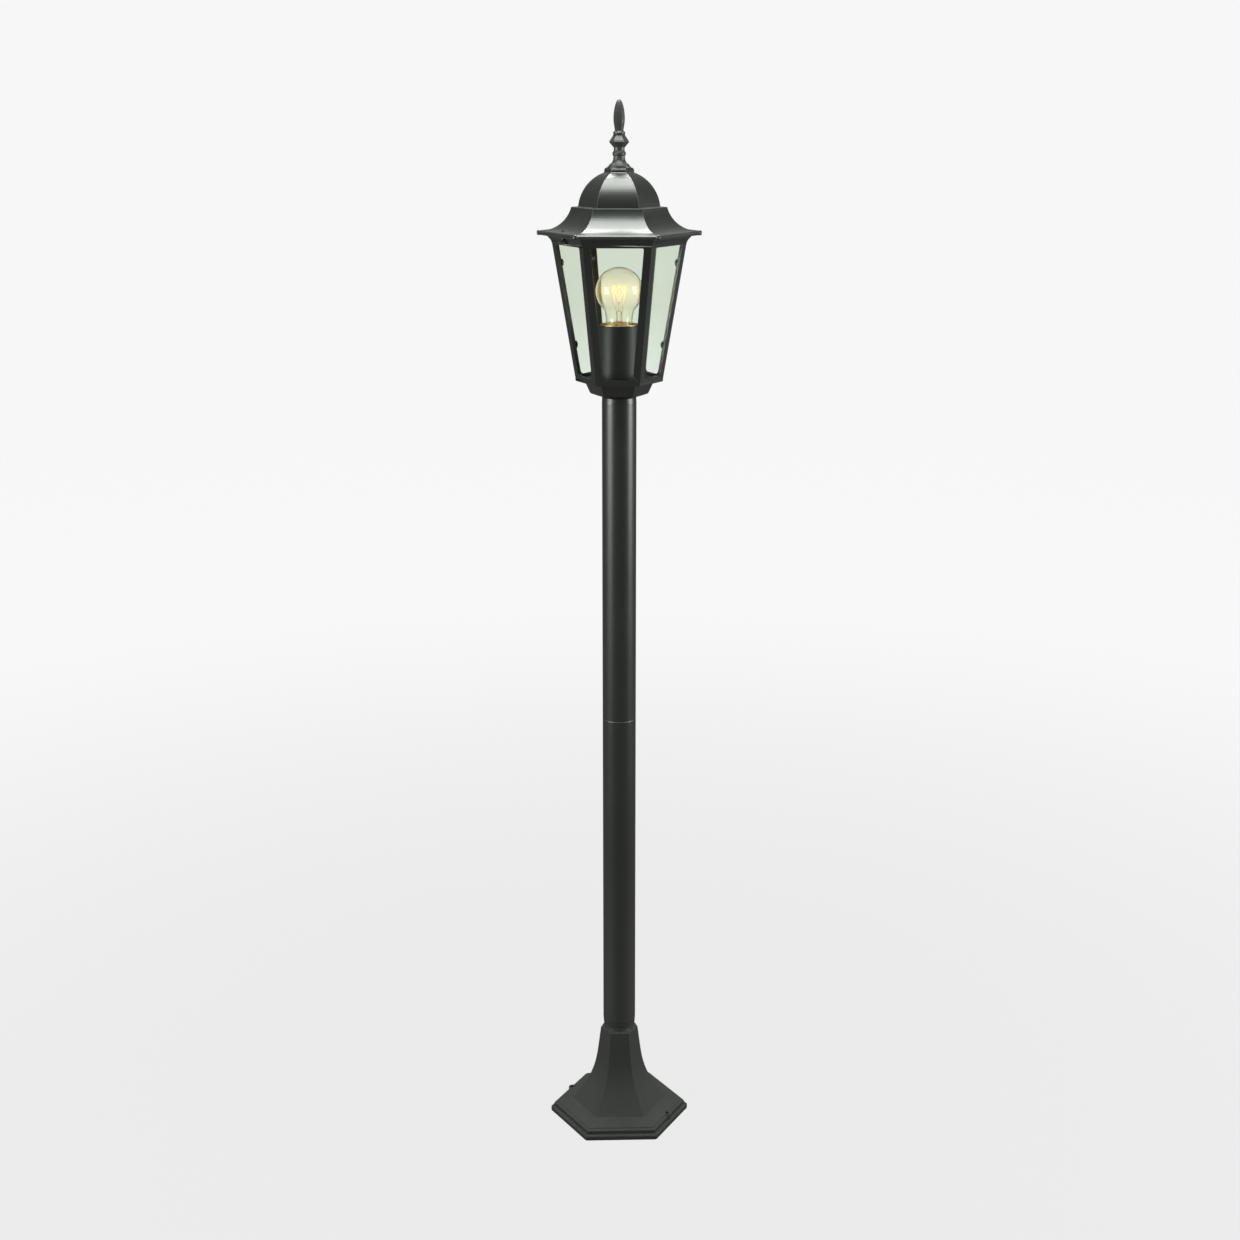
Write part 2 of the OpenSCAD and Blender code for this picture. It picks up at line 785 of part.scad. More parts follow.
module lantern_cage() {
    color(cast_black)
        difference() {
            head()
                difference() {
                    union() {
                        hex_turn(cage_outline());
                        at_roof_screws()
                            translate([0, 0, roof_z - lug_h])
                                turned([[0, 0], [lug_r - 1.6, 0], [lug_r, 2.4], [lug_r, lug_h], [0, lug_h]]);
                    }
                    hex_turn(cage_hollow());
                    for (i = [0 : 5])
                        on_face(i)
                            translate([-2 * cage_wall, 0, 0])
                                rotate([90, 0, 90])
                                    linear_extrude(height = 4 * cage_wall)
                                        window_outline();
                    at_roof_screws()
                        translate([0, 0, roof_z - lug_h + 1.5])
                            cylinder(d = roof_screw_d + 2 * screw_gap, h = lug_h);
                    at_cage_screws()
                        translate([0, 0, cage_z - bore_cut])
                            cylinder(d = cage_screw_d + 2 * screw_gap, h = tray_t + 2 * bore_cut);
                    translate([0, 0, cage_z - bore_cut])
                        cylinder(r = tray_hole_r, h = tray_t + 2 * bore_cut);
                    at_holder_screws()
                        translate([0, 0, cage_z - bore_cut])
                            cylinder(d = holder_screw_d + 2 * slip, h = tray_t + 2 * bore_cut);
                    for (i = [0 : 5], place = clip_places)
                        at_clip(i, place)
                            rotate([0, 0, 45])
                                cylinder(r = clip_screw_r + slip, h = clip_screw_reach + slip);
                }
            lead_hole(cage_z, tray_t);
        }
}

module cage_screws() {
    color(zinc)
        head()
            at_cage_screws()
                translate([0, 0, tray_z])
                    pan_screw(cage_screw_d, tray_t + 7, 3.2, 2.2);
}

// ---------- glass and its clips ----------

module glass_pane(i) {
    low = 0.2;
    high = window_high + glass_lap;
    half_low = face_half(low) - post_w + glass_lap;
    half_high = face_half(high) - post_w + glass_lap;
    color(clear_glass)
        head()
            on_face(i)
                translate([-glass_depth, 0, 0])
                    rotate([90, 0, 90])
                        linear_extrude(height = glass_t)
                            polygon([[-half_low, low], [half_low, low], [half_high, high],
                                     [-half_high, high]]);
}

// A frame on one inside corner of the cage: +Z points out towards the corner, across the corner
// post, and the origin is where the inner faces of two panes would meet
module at_clip(i, place) {
    s = place * face_len;
    reach = (cage_foot_af / 2 + s * sin(lean) - glass_depth / cos(lean)) / cos(30);
    rise = sill_z + s * cos(lean) + glass_depth * sin(lean);
    rotate([0, 0, 60 * i])
        translate([reach, 0, rise])
            rotate([0, 90, 0])
                children();
}

// One half of a clip, flat on the pane behind face i; side is -1 or 1
module clip_leaf(i, side, place) {
    s = place * face_len;
    edge = face_half(s + clip_h / 2, glass_depth + clip_t);
    on_face(i)
        translate([-glass_depth - clip_t, side > 0 ? edge - clip_w : -edge, s - clip_h / 2])
            cube([clip_t, clip_w, clip_h]);
}

module pane_clips() {
    color(zinc)
        head()
            for (i = [0 : 5], place = clip_places)
                difference() {
                    union() {
                        clip_leaf(i, -1, place);
                        clip_leaf((i + 5) % 6, 1, place);
                        at_clip(i, place)
                            translate([0, 0, -clip_seat])
                                rotate([0, 0, 45])
                                    cylinder(r = 2.6, h = 0.9);
                    }
                    at_clip(i, place)
                        translate([0, 0, -6])
                            rotate([0, 0, 45])
                                cylinder(r = clip_screw_r + slip, h = 12);
                }
}

module clip_screws() {
    color(zinc)
        head()
            for (i = [0 : 5], place = clip_places)
                at_clip(i, place)
                    rotate([180, 0, 45])
                        translate([0, 0, clip_seat])
                            pan_screw(2 * clip_screw_r, clip_screw_reach + clip_seat, 2.4, 1.6);
}

// ---------- lampholder ----------

module at_holder_screws() {
    for (side = [-1, 1])
        translate([0, side * holder_screw_y, 0])
            children();
}

module holder_bracket() {
    strap_w = 14;
    foot_y = 23.4;
    leg = 14.6;
    color(zinc)
        head()
            difference() {
                union() {
                    translate([-19, -leg, plate_z])
                        cube([38, 2 * leg, plate_t]);
                    for (side = [0, 1])
                        mirror([0, side, 0]) {
                            translate([-strap_w / 2, leg - plate_t, tray_z])
                                cube([strap_w, plate_t, plate_z - tray_z + plate_t]);
                            intersection() {
                                translate([-strap_w / 2, leg - plate_t, tray_z])
                                    cube([strap_w, foot_y - leg + plate_t, plate_t]);
                                translate([0, 0, tray_z])
                                    cylinder(r = foot_y, h = plate_t);
                            }
                        }
                }
                at_holder_screws()
                    translate([0, 0, tray_z - bore_cut])
                        cylinder(d = holder_screw_d + 2 * slip, h = plate_t + 2 * bore_cut);
                rotate([0, 0, -head_turn])
                    lead_hole(plate_z, plate_t);
                translate([0, 0, plate_z - bore_cut])
                    cylinder(r = 6, h = plate_t + 2 * bore_cut);
            }
}

module holder_screws() {
    color(zinc)
        head()
            at_holder_screws()
                translate([0, 0, tray_z + plate_t])
                    pan_screw(holder_screw_d, plate_t + tray_t, 2.6, 1.8);
}

module holder_body() {
    top_z = holder_z + holder_h;
    color(white_plastic)
        rotate_extrude()
            polygon([
                [3, holder_z], [holder_r - 1, holder_z], [holder_r, holder_z + 1],
                [holder_r, top_z - 1], [holder_r - 1, top_z],
                [neck_r - 0.6, top_z], [shell_r + shell_t + slip, top_z - 6],
                [shell_r + shell_t + slip, socket_floor_z], [3, socket_floor_z]
            ]);
}

module socket_shell() {
    shell_z = socket_floor_z + 4;
    shell_top_z = holder_z + holder_h - 7;
    color(brass)
        rotate_extrude()
            polygon([
                [shell_r + shell_t, shell_z], [shell_r + shell_t, shell_top_z],
                [shell_r, shell_top_z], [shell_r, shell_z + shell_t],
                [9, shell_z + shell_t], [9, shell_z]
            ]);
}

module centre_contact() {
    top_z = bulb_z - bulb_gap;
    color(brass)
        difference() {
            union() {
                translate([-3.5, -8, socket_floor_z])
                    cube([7, 12, 0.8]);
                translate([-3.5, 3.2, socket_floor_z])
                    cube([7, 0.8, top_z - socket_floor_z]);
                translate([-3.5, -4, top_z - 0.8])
                    cube([7, 8, 0.8]);
            }
            translate([0, -6, socket_floor_z - bore_cut])
                cylinder(r = 1.3, h = 2);
        }
}

module holder_shroud() {
    color(holder_black)
        translate([0, 0, tray_z])
            turned([
                [shroud_r - shroud_t, 0], [shroud_r - 0.6, 0], [shroud_r, 0.8],
                [shroud_r - 0.3, shroud_h - 0.8], [shroud_r - 0.9, shroud_h],
                [shroud_r - shroud_t + 0.2, shroud_h], [shroud_r - shroud_t, shroud_h - 0.8]
            ]);
}

module shroud_ring() {
    foot_z = holder_z + holder_h;
    outer = shroud_r - shroud_t - slip;
    color(brass)
        turned([
            [neck_r + 1.7, foot_z], [neck_r + 2.9, foot_z], [neck_r + 2.9, ring_top_z - 1.2],
            [outer, ring_top_z - 1.2], [outer, ring_top_z], [neck_r + 1.7, ring_top_z]
        ]);
}

// ---------- bulb ----------

// The bulb's outline from the cap to the crown, drawn in by "inset" on every side
function bulb_curve(inset) = concat(
    [[cap_d / 2 - 0.9 - inset, cap_top_z - 3], [cap_d / 2 - 0.9 - inset, cap_top_z]],
    bezier_points([
        [cap_d / 2 - 0.6 - inset, cap_top_z + 0.5],
        [neck_r - 0.6 - inset, cap_top_z + 4],
        [neck_r - inset, neck_z - 5],
        [neck_r - inset, neck_z]
    ], 8),
    bezier_points([
        [neck_r - inset, neck_z + 1],
        [neck_r + 0.2 - inset, neck_z + 9],
        [bulb_r * 0.707 - 4.2 - inset * 0.8, bulb_mid_z - bulb_r * 0.707 - 4.2],
        [(bulb_r - inset) * 0.707, bulb_mid_z - (bulb_r - inset) * 0.707]
    ], 10),
    arc([0, bulb_mid_z], bulb_r - inset, -42, 89, 28)
);

module bulb_envelope() {
    outer = bulb_curve(0);
    inner = bulb_curve(envelope_t);
    color(clear_glass)
        turned(concat(
            outer,
            [[0, bulb_mid_z + bulb_r], [0, bulb_mid_z + bulb_r - envelope_t]],
            [for (i = [len(inner) - 1 : -1 : 0]) inner[i]]
        ));
}

module bulb_stem() {
    flare_r = cap_d / 2 - 0.9 - envelope_t;
    color(clear_glass)
        turned([
            [0, cap_top_z - 2], [flare_r, cap_top_z - 2], [flare_r, cap_top_z - 1],
            [6, cap_top_z + 1.5], [4.2, cap_top_z + 6], [3.6, stem_top_z - 5],
            [4.4, stem_top_z - 3], [4.4, stem_top_z - 1.5], [2.6, stem_top_z],
            [1.1, stem_top_z + 1], [1.1, stem_top_z + 9], [1.9, stem_top_z + 10],
            [1.1, stem_top_z + 11.4], [0, stem_top_z + 11.6]
        ]);
}

// Lead-in wires and the finer supports between them
module bulb_wires() {
    color(zinc)
        difference() {
            union() {
                for (side = [-1, 1])
                    wire([side * 3.2, 0, stem_top_z - 2.6], [side * filament_r, 0, filament_z], 0.4);
                for (a = [230, 270, 310])
                    wire([0, 0, stem_top_z + 10],
                         [filament_r * cos(a), filament_r * sin(a), filament_z - 0.4], 0.25);
            }
            bulb_stem();
        }
}

// The filament runs round the front of its supports in a half ring, and its ends are welded to the
// lead-in wires
module bulb_filament() {
    color([1, 0.75, 0.35])
        translate([0, 0, filament_z])
            rotate([0, 0, 180])
                rotate_extrude(angle = 180)
                    translate([filament_r, 0])
                        circle(r = 0.5, $fn = 24);
}

module bulb_cap() {
    turns = 5;
    crest = 0.55;
    thread_h = 17;
    thread_z = cap_top_z - 3 - thread_h;
    wall = 0.4;
    thread = [for (k = [0 : 40])
        [cap_d / 2 - crest + crest * cos(360 * turns * k / 40 + 180), thread_z + thread_h * k / 40]];
    color(brass)
        turned(concat(
            [[9, cap_z], [11, cap_z]],
            thread,
            [[cap_d / 2 - 0.45, cap_top_z - 3], [cap_d / 2 - 0.45, cap_top_z], [cap_d / 2 - 0.9, cap_top_z]],
            [[cap_d / 2 - 0.9, cap_top_z - 3 - wall], [cap_d / 2 - 2 * crest - wall, cap_top_z - 3 - wall]],
            [[cap_d / 2 - 2 * crest - wall, thread_z], [11 - wall, cap_z + wall], [9, cap_z + wall]]
        ));
}

module bulb_insulator() {
    color(holder_black)
        turned([[0, cap_z - 3.4], [4.6, cap_z - 3.4], [9, cap_z - 0.6], [9, cap_z + 1.2], [0, cap_z + 1.2]]);
}

module bulb_contact() {
    color(zinc)
        turned([[0, bulb_z], [3.2, bulb_z], [4.4, bulb_z + 1], [4.4, cap_z - 3.4], [0, cap_z - 3.4]]);
}

// ---------- roof ----------

function roof_skirt(inset, n) =
    let (a0 = asin(skirt_lead / skirt_r), a1 = asin((skirt_cx - skirt_top_r6) / skirt_r))
    [for (i = [0 : n]) let (a = a0 + (a1 - a0) * i / n)
        [skirt_cx - (skirt_r + inset) * sin(a), skirt_cz - (skirt_r + inset) * cos(a)]];

function roof_dome(inset, n) =
    let (a1 = acos((dome_top_r6 - dome_cx) / dome_curve_r))
    [for (i = [0 : n]) let (a = 6 + (a1 - 6) * i / n)
        [dome_cx + (dome_curve_r - inset) * cos(a), dome_cz + (dome_curve_r - inset) * sin(a)]];

function roof_outline() = flats(concat(
    [[rim_r6 - 1.4, roof_z], [rim_r6, roof_z + 1.6], [rim_r6, rim_top_z - 1.6], [rim_r6 - 1.4, rim_top_z]],
    roof_skirt(0, 16),
    [[dome_r6 + 0.8, ledge_z + 0.2]],
    roof_dome(0, 18),
    [[19.4, dome_top_z + 0.8], [18.7, dome_top_z + 1.6], [18.6, boss_z - 2.4], [17.2, boss_z]]
));

function roof_hollow() = concat(
    [[roof_mouth_a, roof_z - lip_drop - bore_cut]],
    [[roof_mouth_a, rim_top_z + 1.5]],
    [for (p = flats(roof_skirt(roof_wall, 12)))
        if (p[0] < roof_mouth_a && p[1] < ledge_z - roof_wall) p],
    [[(dome_r6 + 4) * cos(30) - roof_wall, ledge_z - roof_wall]],
    [for (p = flats(roof_dome(roof_wall, 12))) if (p[1] > ledge_z - 1 && p[1] < ceiling_z) p],
    [[dome_top_r6 * cos(30) - roof_wall - 1, ceiling_z]]
);

module roof() {
    nib_r = 3.2;
    color(cast_black)
        head()
            difference() {
                union() {
                    hex_turn(roof_outline());
                    for (i = [0 : 5])
                        rotate([0, 0, 60 * i])
                            translate([rim_r6 - nib_r + 0.2, 0, roof_z - 0.4])
                                bead(nib_r, rim_t + 0.8);
                    translate([0, 0, boss_z - 1])
                        cylinder(r = 15, h = seat_z - boss_z + 1);
                    translate([0, 0, roof_z - lip_drop])
                        hex_plate(2 * lip_a, lip_drop + 1);
                }
                hex_turn(roof_hollow());
                translate([0, 0, ceiling_z - bore_cut])
                    cylinder(r = stud_r + slip, h = seat_z - ceiling_z + 2 * bore_cut);
                at_roof_screws() {
                    translate([0, 0, rim_top_z])
                        cylinder(r = pocket_r, h = 2 * rim_t);
                    translate([0, 0, roof_z - bore_cut])
                        cylinder(d = roof_screw_d + 2 * slip, h = 2 * rim_t);
                }
                // room for the lugs' round backs
                at_roof_screws()
                    translate([0, 0, roof_z - lip_drop - bore_cut])
                        cylinder(r = lug_r + 0.4, h = lip_drop + bore_cut);
            }
}

module roof_screws() {
    color(cast_black)
        head()
            at_roof_screws()
                translate([0, 0, rim_top_z])
                    pan_screw(roof_screw_d, rim_t + roof_screw_len - 6, 3.6, 2.6);
}

// ---------- finial ----------

module finial() {
    k = finial_h / 80.5;
    bead_z = 15.5;
    foot_profile = [
        [0, 0], [finial_foot_r, 0], [finial_foot_r, 1.2], [finial_foot_r - 0.5, 2.2],
        [finial_foot_r - 1.6, 3], [finial_foot_r - 3, 4], [8.8, 5.5], [7.6, 8], [7.2, 11],
        [7.2, 12.6], [8.1, 13.6], [8.5, bead_z], [8.1, 17.2], [7, 18.4], [6.7, 20.5], [6.9, 23.6], [0, 23.6]
    ];
    bell = [
        [7.2, 23], [8.4, 24.6], [10.8, 27.3], [bell_r, 29.4], [bell_r - 0.2, 30.1], [11.1, 32.2],
        [9.4, 34.5], [7.8, 36.9], [7.1, 39]
    ];
    spear = [
        [5.4, 42], [5.5, 44], [5.9, 47], [6.7, 51.5], [7.1, 56], [7.05, 60.5], [6.6, 65.5], [5.8, 70],
        [4.8, 74], [3.4, 77.6], [1.8, 79.9], [0.4, 80.5]
    ];
    color(cast_black)
        translate([0, 0, seat_z])
            head()
                difference() {
                    union() {
                        turned([for (p = foot_profile) [p[0], p[1] * k]]);
                        hex_turn(flats([for (p = bell) [p[0], p[1] * k]]));
                        translate([0, 0, 38.5 * k])
                            turned([[0, 0], [6.6, 0], [7.5, 1.2 * k], [7.5, 2.6 * k], [6, 4.2 * k], [0, 4.2 * k]]);
                        hex_turn(flats([for (p = spear) [p[0], p[1] * k]]));
                    }
                    translate([0, 0, -bore_cut])
                        cylinder(r = stud_r, h = 12 + bore_cut);
                }
}

module finial_stud() {
    color(zinc)
        translate([0, 0, ceiling_z - stud_drop + 4])
            cylinder(r = stud_r, h = seat_z + 12 - ceiling_z + stud_drop - 4);
}

module finial_nut() {
    color(zinc)
        translate([0, 0, ceiling_z - 1.6 - finial_nut_h])
            hex_nut(10, finial_nut_h, 2 * stud_r);
}

module finial_washer() {
    color(zinc)
        translate([0, 0, ceiling_z - 1.6])
            ring(6.2, stud_r + 0.2, 1.6);
}

base_casting();
lower_ferrule();
lower_tube();
joint_sleeve();
upper_tube();
upper_ferrule();
tie_rod();
rod_nuts();
rod_washers();
terminal_bracket();
terminal_block();
terminal_screws();
bracket_bolt();
earth_screw();
cable_grommet();
inner_lead();
lantern_cup();
lantern_cage();
cage_screws();
glass_pane(0);  // glass_pane_1
glass_pane(1);  // glass_pane_2
glass_pane(2);  // glass_pane_3
glass_pane(3);  // glass_pane_4
glass_pane(4);  // glass_pane_5
glass_pane(5);  // glass_pane_6
pane_clips();
clip_screws();
holder_bracket();
holder_screws();
holder_body();
socket_shell();
centre_contact();
holder_shroud();
shroud_ring();
bulb_envelope();
bulb_stem();
bulb_wires();
bulb_filament();
bulb_cap();
bulb_insulator();
bulb_contact();
roof();
roof_screws();
finial();
finial_stud();
finial_nut();
finial_washer();
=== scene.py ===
# %% [markdown]
# # A garden post lantern
# The lantern stands on a round tube post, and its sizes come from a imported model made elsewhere.
# That model fixes every dimension. Here each piece gets its finish, the cast edges are softened,
# the bulb gets its wound filament, and the lantern is set out in a small studio.

# %% Load the frame
import json
import math

import bpy
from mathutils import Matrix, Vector


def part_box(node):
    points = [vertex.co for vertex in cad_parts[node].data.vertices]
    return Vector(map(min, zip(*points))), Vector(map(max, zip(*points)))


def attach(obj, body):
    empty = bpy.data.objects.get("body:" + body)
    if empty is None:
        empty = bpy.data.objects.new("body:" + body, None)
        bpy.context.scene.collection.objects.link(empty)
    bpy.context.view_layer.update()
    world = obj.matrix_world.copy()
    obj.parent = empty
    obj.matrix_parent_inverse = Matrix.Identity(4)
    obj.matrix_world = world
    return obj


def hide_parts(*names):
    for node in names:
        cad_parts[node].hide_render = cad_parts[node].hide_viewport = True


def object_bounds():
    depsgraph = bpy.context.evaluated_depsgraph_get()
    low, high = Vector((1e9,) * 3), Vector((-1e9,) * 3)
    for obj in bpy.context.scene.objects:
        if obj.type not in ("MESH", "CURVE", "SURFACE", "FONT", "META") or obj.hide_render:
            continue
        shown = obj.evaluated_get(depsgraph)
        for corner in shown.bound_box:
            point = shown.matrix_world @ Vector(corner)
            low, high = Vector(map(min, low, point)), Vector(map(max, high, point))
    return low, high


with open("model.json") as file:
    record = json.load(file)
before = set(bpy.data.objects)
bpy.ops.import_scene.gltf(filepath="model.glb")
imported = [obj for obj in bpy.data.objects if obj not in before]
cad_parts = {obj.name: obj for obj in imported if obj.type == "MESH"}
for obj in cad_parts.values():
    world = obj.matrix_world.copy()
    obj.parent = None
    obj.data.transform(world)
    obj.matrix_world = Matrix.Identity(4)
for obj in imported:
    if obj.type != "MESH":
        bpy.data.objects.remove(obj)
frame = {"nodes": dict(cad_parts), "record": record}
nodes = frame["nodes"]
frame_low, frame_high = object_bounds()
MM = 0.001
height = frame_high.z - frame_low.z
print(f"{len(nodes)} nodes, {height / MM:.0f} mm tall")

# %% [markdown]
# ## The camera
# A product picture of a tall thin thing is best taken from a few metres away, or its lines splay.
# The camera could look straight across, but then the foot would show only its edge. Here it
# stands near the height of the finial and looks down a little, so that the foot opens into a
# hexagon while the lantern is seen nearly level.

# %% Place the camera
STAND_OFF = 2.378
CAMERA_TURN = math.radians(-1.8)
CAMERA_TILT = math.radians(15.6)
CAMERA_PAN = math.radians(0.025)
CAMERA_DROP = 1 * MM
LENS_MM = 54.08
SENSOR_MM = 36

camera_data = bpy.data.cameras.new("camera")
camera_data.lens = LENS_MM
camera_data.sensor_width = SENSOR_MM
camera = bpy.data.objects.new("camera", camera_data)
camera.location = (
    STAND_OFF * math.sin(CAMERA_TURN),
    -STAND_OFF * math.cos(CAMERA_TURN),
    frame_high.z - CAMERA_DROP,
)
camera.rotation_euler = (math.pi / 2 - CAMERA_TILT, 0, CAMERA_TURN - CAMERA_PAN)
bpy.context.scene.collection.objects.link(camera)
bpy.context.scene.camera = camera
print(f"camera {STAND_OFF:.2f} m away at {camera.location.z:.2f} m")

# %% [markdown]
# ## Shader sums written as Python
# A finish is a web of nodes, and a web is hard to read. This class holds one output of a node and
# gives it the ordinary signs of arithmetic, so that `1 - mask * 0.3` adds the Math nodes by itself.
# Only plain values use these signs. Colours go through a Mix node and places through a Vector
# Math node, because a Math node turns a colour grey. The finish itself adds every other node with
# one method, whether it is painted on a piece or fills the room.

# %% A value that runs through the nodes
class Flow:
    def __init__(self, finish, socket):
        self.finish = finish
        self.socket = socket

    def __add__(self, other):
        return self.finish.maths("ADD", self, other)

    def __sub__(self, other):
        return self.finish.maths("SUBTRACT", self, other)

    def __rsub__(self, other):
        return self.finish.maths("SUBTRACT", other, self)

    def __mul__(self, other):
        return self.finish.maths("MULTIPLY", self, other)

    def __truediv__(self, other):
        return self.finish.maths("DIVIDE", self, other)

    def __pow__(self, other):
        return self.finish.maths("POWER", self, other)

    __radd__ = __add__
    __rmul__ = __mul__


# %% A finish, and the one method that adds a node to it
def grey(level):
    return (level, level, level)


class Finish:
    def __init__(self, name, holder=None):
        self.holder = holder or bpy.data.materials.new(name)
        self.holder.use_nodes = True
        self.tree = self.holder.node_tree
        self.tree.nodes.clear()

    def feed(self, socket, value):
        if isinstance(value, Flow):
            self.tree.links.new(value.socket, socket)
        elif isinstance(value, tuple) and len(value) == 3 and socket.type == "RGBA":
            socket.default_value = (*value, 1)
        else:
            socket.default_value = value

    def node(self, kind, settings=None, sockets=None, out=0):
        made = self.tree.nodes.new("ShaderNode" + kind)
        for name, value in (settings or {}).items():
            if name == "stops":
                ramp = made.color_ramp.elements
                while len(ramp) < len(value):
                    ramp.new(0.5)
                for stop, (place, level) in zip(ramp, value):
                    stop.position = place
                    stop.color = (*grey(level), 1)
            else:
                setattr(made, name, value)
        for name, value in (sockets or {}).items():
            self.feed(made.inputs[name], value)
        return Flow(self, made.outputs[out])

    def maths(self, operation, first, second=0.0):
        return self.node("Math", {"operation": operation}, {0: first, 1: second})

    def mix(self, share, first, second):
        return self.node("Mix", {"data_type": "RGBA"}, {0: share, 6: first, 7: second}, out=2)

    def place(self):
        return self.node("TexCoord", out="Object")

    def height(self):
        return self.node("SeparateXYZ", {}, {0: self.place()}, out="Z")

    def span(self, value, low, high, curve="LINEAR"):
        return self.node("MapRange", {"interpolation_type": curve}, {0: value, 1: low, 2: high})

    def stretched(self, x, y, z):
        return self.node("VectorMath", {"operation": "MULTIPLY"}, {0: self.place(), 1: (x, y, z)})

    def noise(self, size, detail, where=None):
        where = where or self.place()
        return self.node("TexNoise", {}, {"Vector": where, "Scale": 1 / size, "Detail": detail})

    def ramp(self, value, *stops):
        return self.node("ValToRGB", {"stops": stops}, {0: value})

    def bump(self, height_value, distance, strength):
        return self.node("Bump", {}, {"Height": height_value, "Distance": distance, "Strength": strength})

    def seen(self):
        straight = self.node("LightPath", out="Is Camera Ray")
        through_glass = self.node("LightPath", out="Is Transmission Ray")
        return self.maths("MAXIMUM", straight, through_glass)

    def surface(self, shader, output_kind="OutputMaterial"):
        output = self.tree.nodes.new("ShaderNode" + output_kind)
        self.tree.links.new(shader.socket, output.inputs["Surface"])
        return self.holder


# %% [markdown]
# ## Powder coat
# The castings and the tubes are aluminium under a baked powder coat. The powder melts into a
# satin skin that keeps a fine pebbled texture. It is paler where an edge is rubbed, and along the
# roof's ridges a much paler edge colour is a painted highlight. Towards the ground it turns
# rougher and a painted shade darkens it. It could be a flat black with one roughness, but the eye
# finds real paint by its broken highlight.
# So pebbles under a millimetre, the slow waves of the casting and a faint drift in colour are
# laid over each other, and a Bevel node finds the edges.

# %% Powder coat
# Towards the ground the coat turns rougher, and its colour is darkened with painted shade.
DULL_AND_SHADE_TOP = 400 * MM
GROUND_SHADE = (0.009, 0.0095, 0.0085)
EDGE_WEAR_AND_HIGHLIGHT_R = 0.9 * MM
PEBBLE_DEPTH = 0.05 * MM
CAST_BLACK = (0.014, 0.0155, 0.0138)
TUBE_BLACK = (0.016, 0.0175, 0.0158)
# The finial's black is lighter than the castings': painted light, a lit copy of the coat.
FINIAL_LIT_BLACK = (0.034, 0.036, 0.033)
CAST_EDGE = (0.09, 0.094, 0.09)
TUBE_EDGE = (0.05, 0.053, 0.05)
# The roof's edge colour is far paler than wear: a painted highlight along the roof's ridges.
ROOF_RIDGE_HIGHLIGHT = (0.38, 0.39, 0.37)


def powder_coat(name, colour, wear_and_highlight_colour, gloss, pebble, wave):
    coat = Finish(name)
    pebbles = coat.noise(pebble, 3)
    waves = coat.noise(wave, 2)
    drift = coat.noise(60 * MM, 3)
    rounded = coat.node("Bevel", {"samples": 4}, {"Radius": EDGE_WEAR_AND_HIGHLIGHT_R})
    facing = coat.node("NewGeometry", out="Normal")
    straight = coat.node("VectorMath", {"operation": "DOT_PRODUCT"}, {0: rounded, 1: facing}, out="Value")
    # The edge mask lays rubbed wear on the castings and tubes, and on the roof a painted highlight along
    # the ridges.
    edge = coat.ramp(straight, (0.80, 1), (0.98, 0))
    low_dull_and_shade = coat.span(coat.height(), DULL_AND_SHADE_TOP, 0.0, "SMOOTHSTEP")
    shade = coat.mix(drift * 0.5, colour, tuple(1.5 * c for c in colour))
    shade = coat.mix(edge * 0.8, shade, wear_and_highlight_colour)
    # Painted shade: the colour darkens towards the ground.
    shade = coat.mix(low_dull_and_shade * 0.6, shade, GROUND_SHADE)
    roughness = gloss + low_dull_and_shade * 0.50 + (drift - 0.5) * 0.10 + (pebbles - 0.5) * 0.08
    shader = coat.node("BsdfPrincipled", {}, {
        "Base Color": shade,
        "Roughness": roughness,
        "Specular IOR Level": 0.85,
        "Specular Tint": (0.95, 1.0, 0.94),
        "Normal": coat.bump(pebbles * 0.6 + waves * 0.4, PEBBLE_DEPTH, 0.5),
    })
    return coat.surface(shader)


cast_coat = powder_coat("cast_black_coat", CAST_BLACK, CAST_EDGE, 0.34, 0.8 * MM, 6 * MM)
tube_coat = powder_coat("tube_black_coat", TUBE_BLACK, TUBE_EDGE, 0.36, 0.6 * MM, 9 * MM)
finial_lit_coat = powder_coat("finial_lit_black_coat", FINIAL_LIT_BLACK, CAST_EDGE, 0.44, 0.6 * MM, 5 * MM)
# The roof's coat carries the painted highlight along its ridges.
roof_highlight_coat = powder_coat("roof_ridge_highlight_coat", CAST_BLACK, ROOF_RIDGE_HIGHLIGHT, 0.34, 0.8 * MM, 6 * MM)
print("powder coats ready")

# %% [markdown]
# ## Glass
# A flat pane bends nothing, so it is built thin: most light goes straight through a faint green
# tint, which is paler at the foot of the pane, and a share that grows towards grazing views is
# mirrored. The bulb is blown, and its wall really bends light, which draws the dark outline of
# its rim, so it gets true glass. Lamps shine through it without being bent, which keeps the
# inside clean. Its wall also has a faint painted glow, warmest level with the filament, that
# stands in for the haze of the filament's light: a haze of smoke-thin volume could do that too,
# but it would be slow and grainy.

# %% Window glass
pane_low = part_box("glass_pane_1")[0]
PALE_STRIP = 90 * MM


def window_glass():
    pane = Finish("window_glass")
    smear = pane.noise(25 * MM, 3)
    turned_away = pane.node("LayerWeight", {}, {"Blend": 0.5}, out="Facing")
    mirror = 0.02 + 0.2 * turned_away ** 5
    raised = pane.span(pane.height(), pane_low.z, pane_low.z + PALE_STRIP)
    tint = pane.mix(raised, (0.970, 0.998, 0.975), (0.928, 0.952, 0.908))
    tint = pane.mix(smear * 0.25, tint, (0.90, 0.94, 0.89))
    clear = pane.node("BsdfTransparent", {}, {"Color": tint})
    gloss = pane.node("BsdfGlossy", {}, {"Color": grey(1.0), "Roughness": 0.04})
    return pane.surface(pane.node("MixShader", {}, {0: mirror, 1: clear, 2: gloss}))


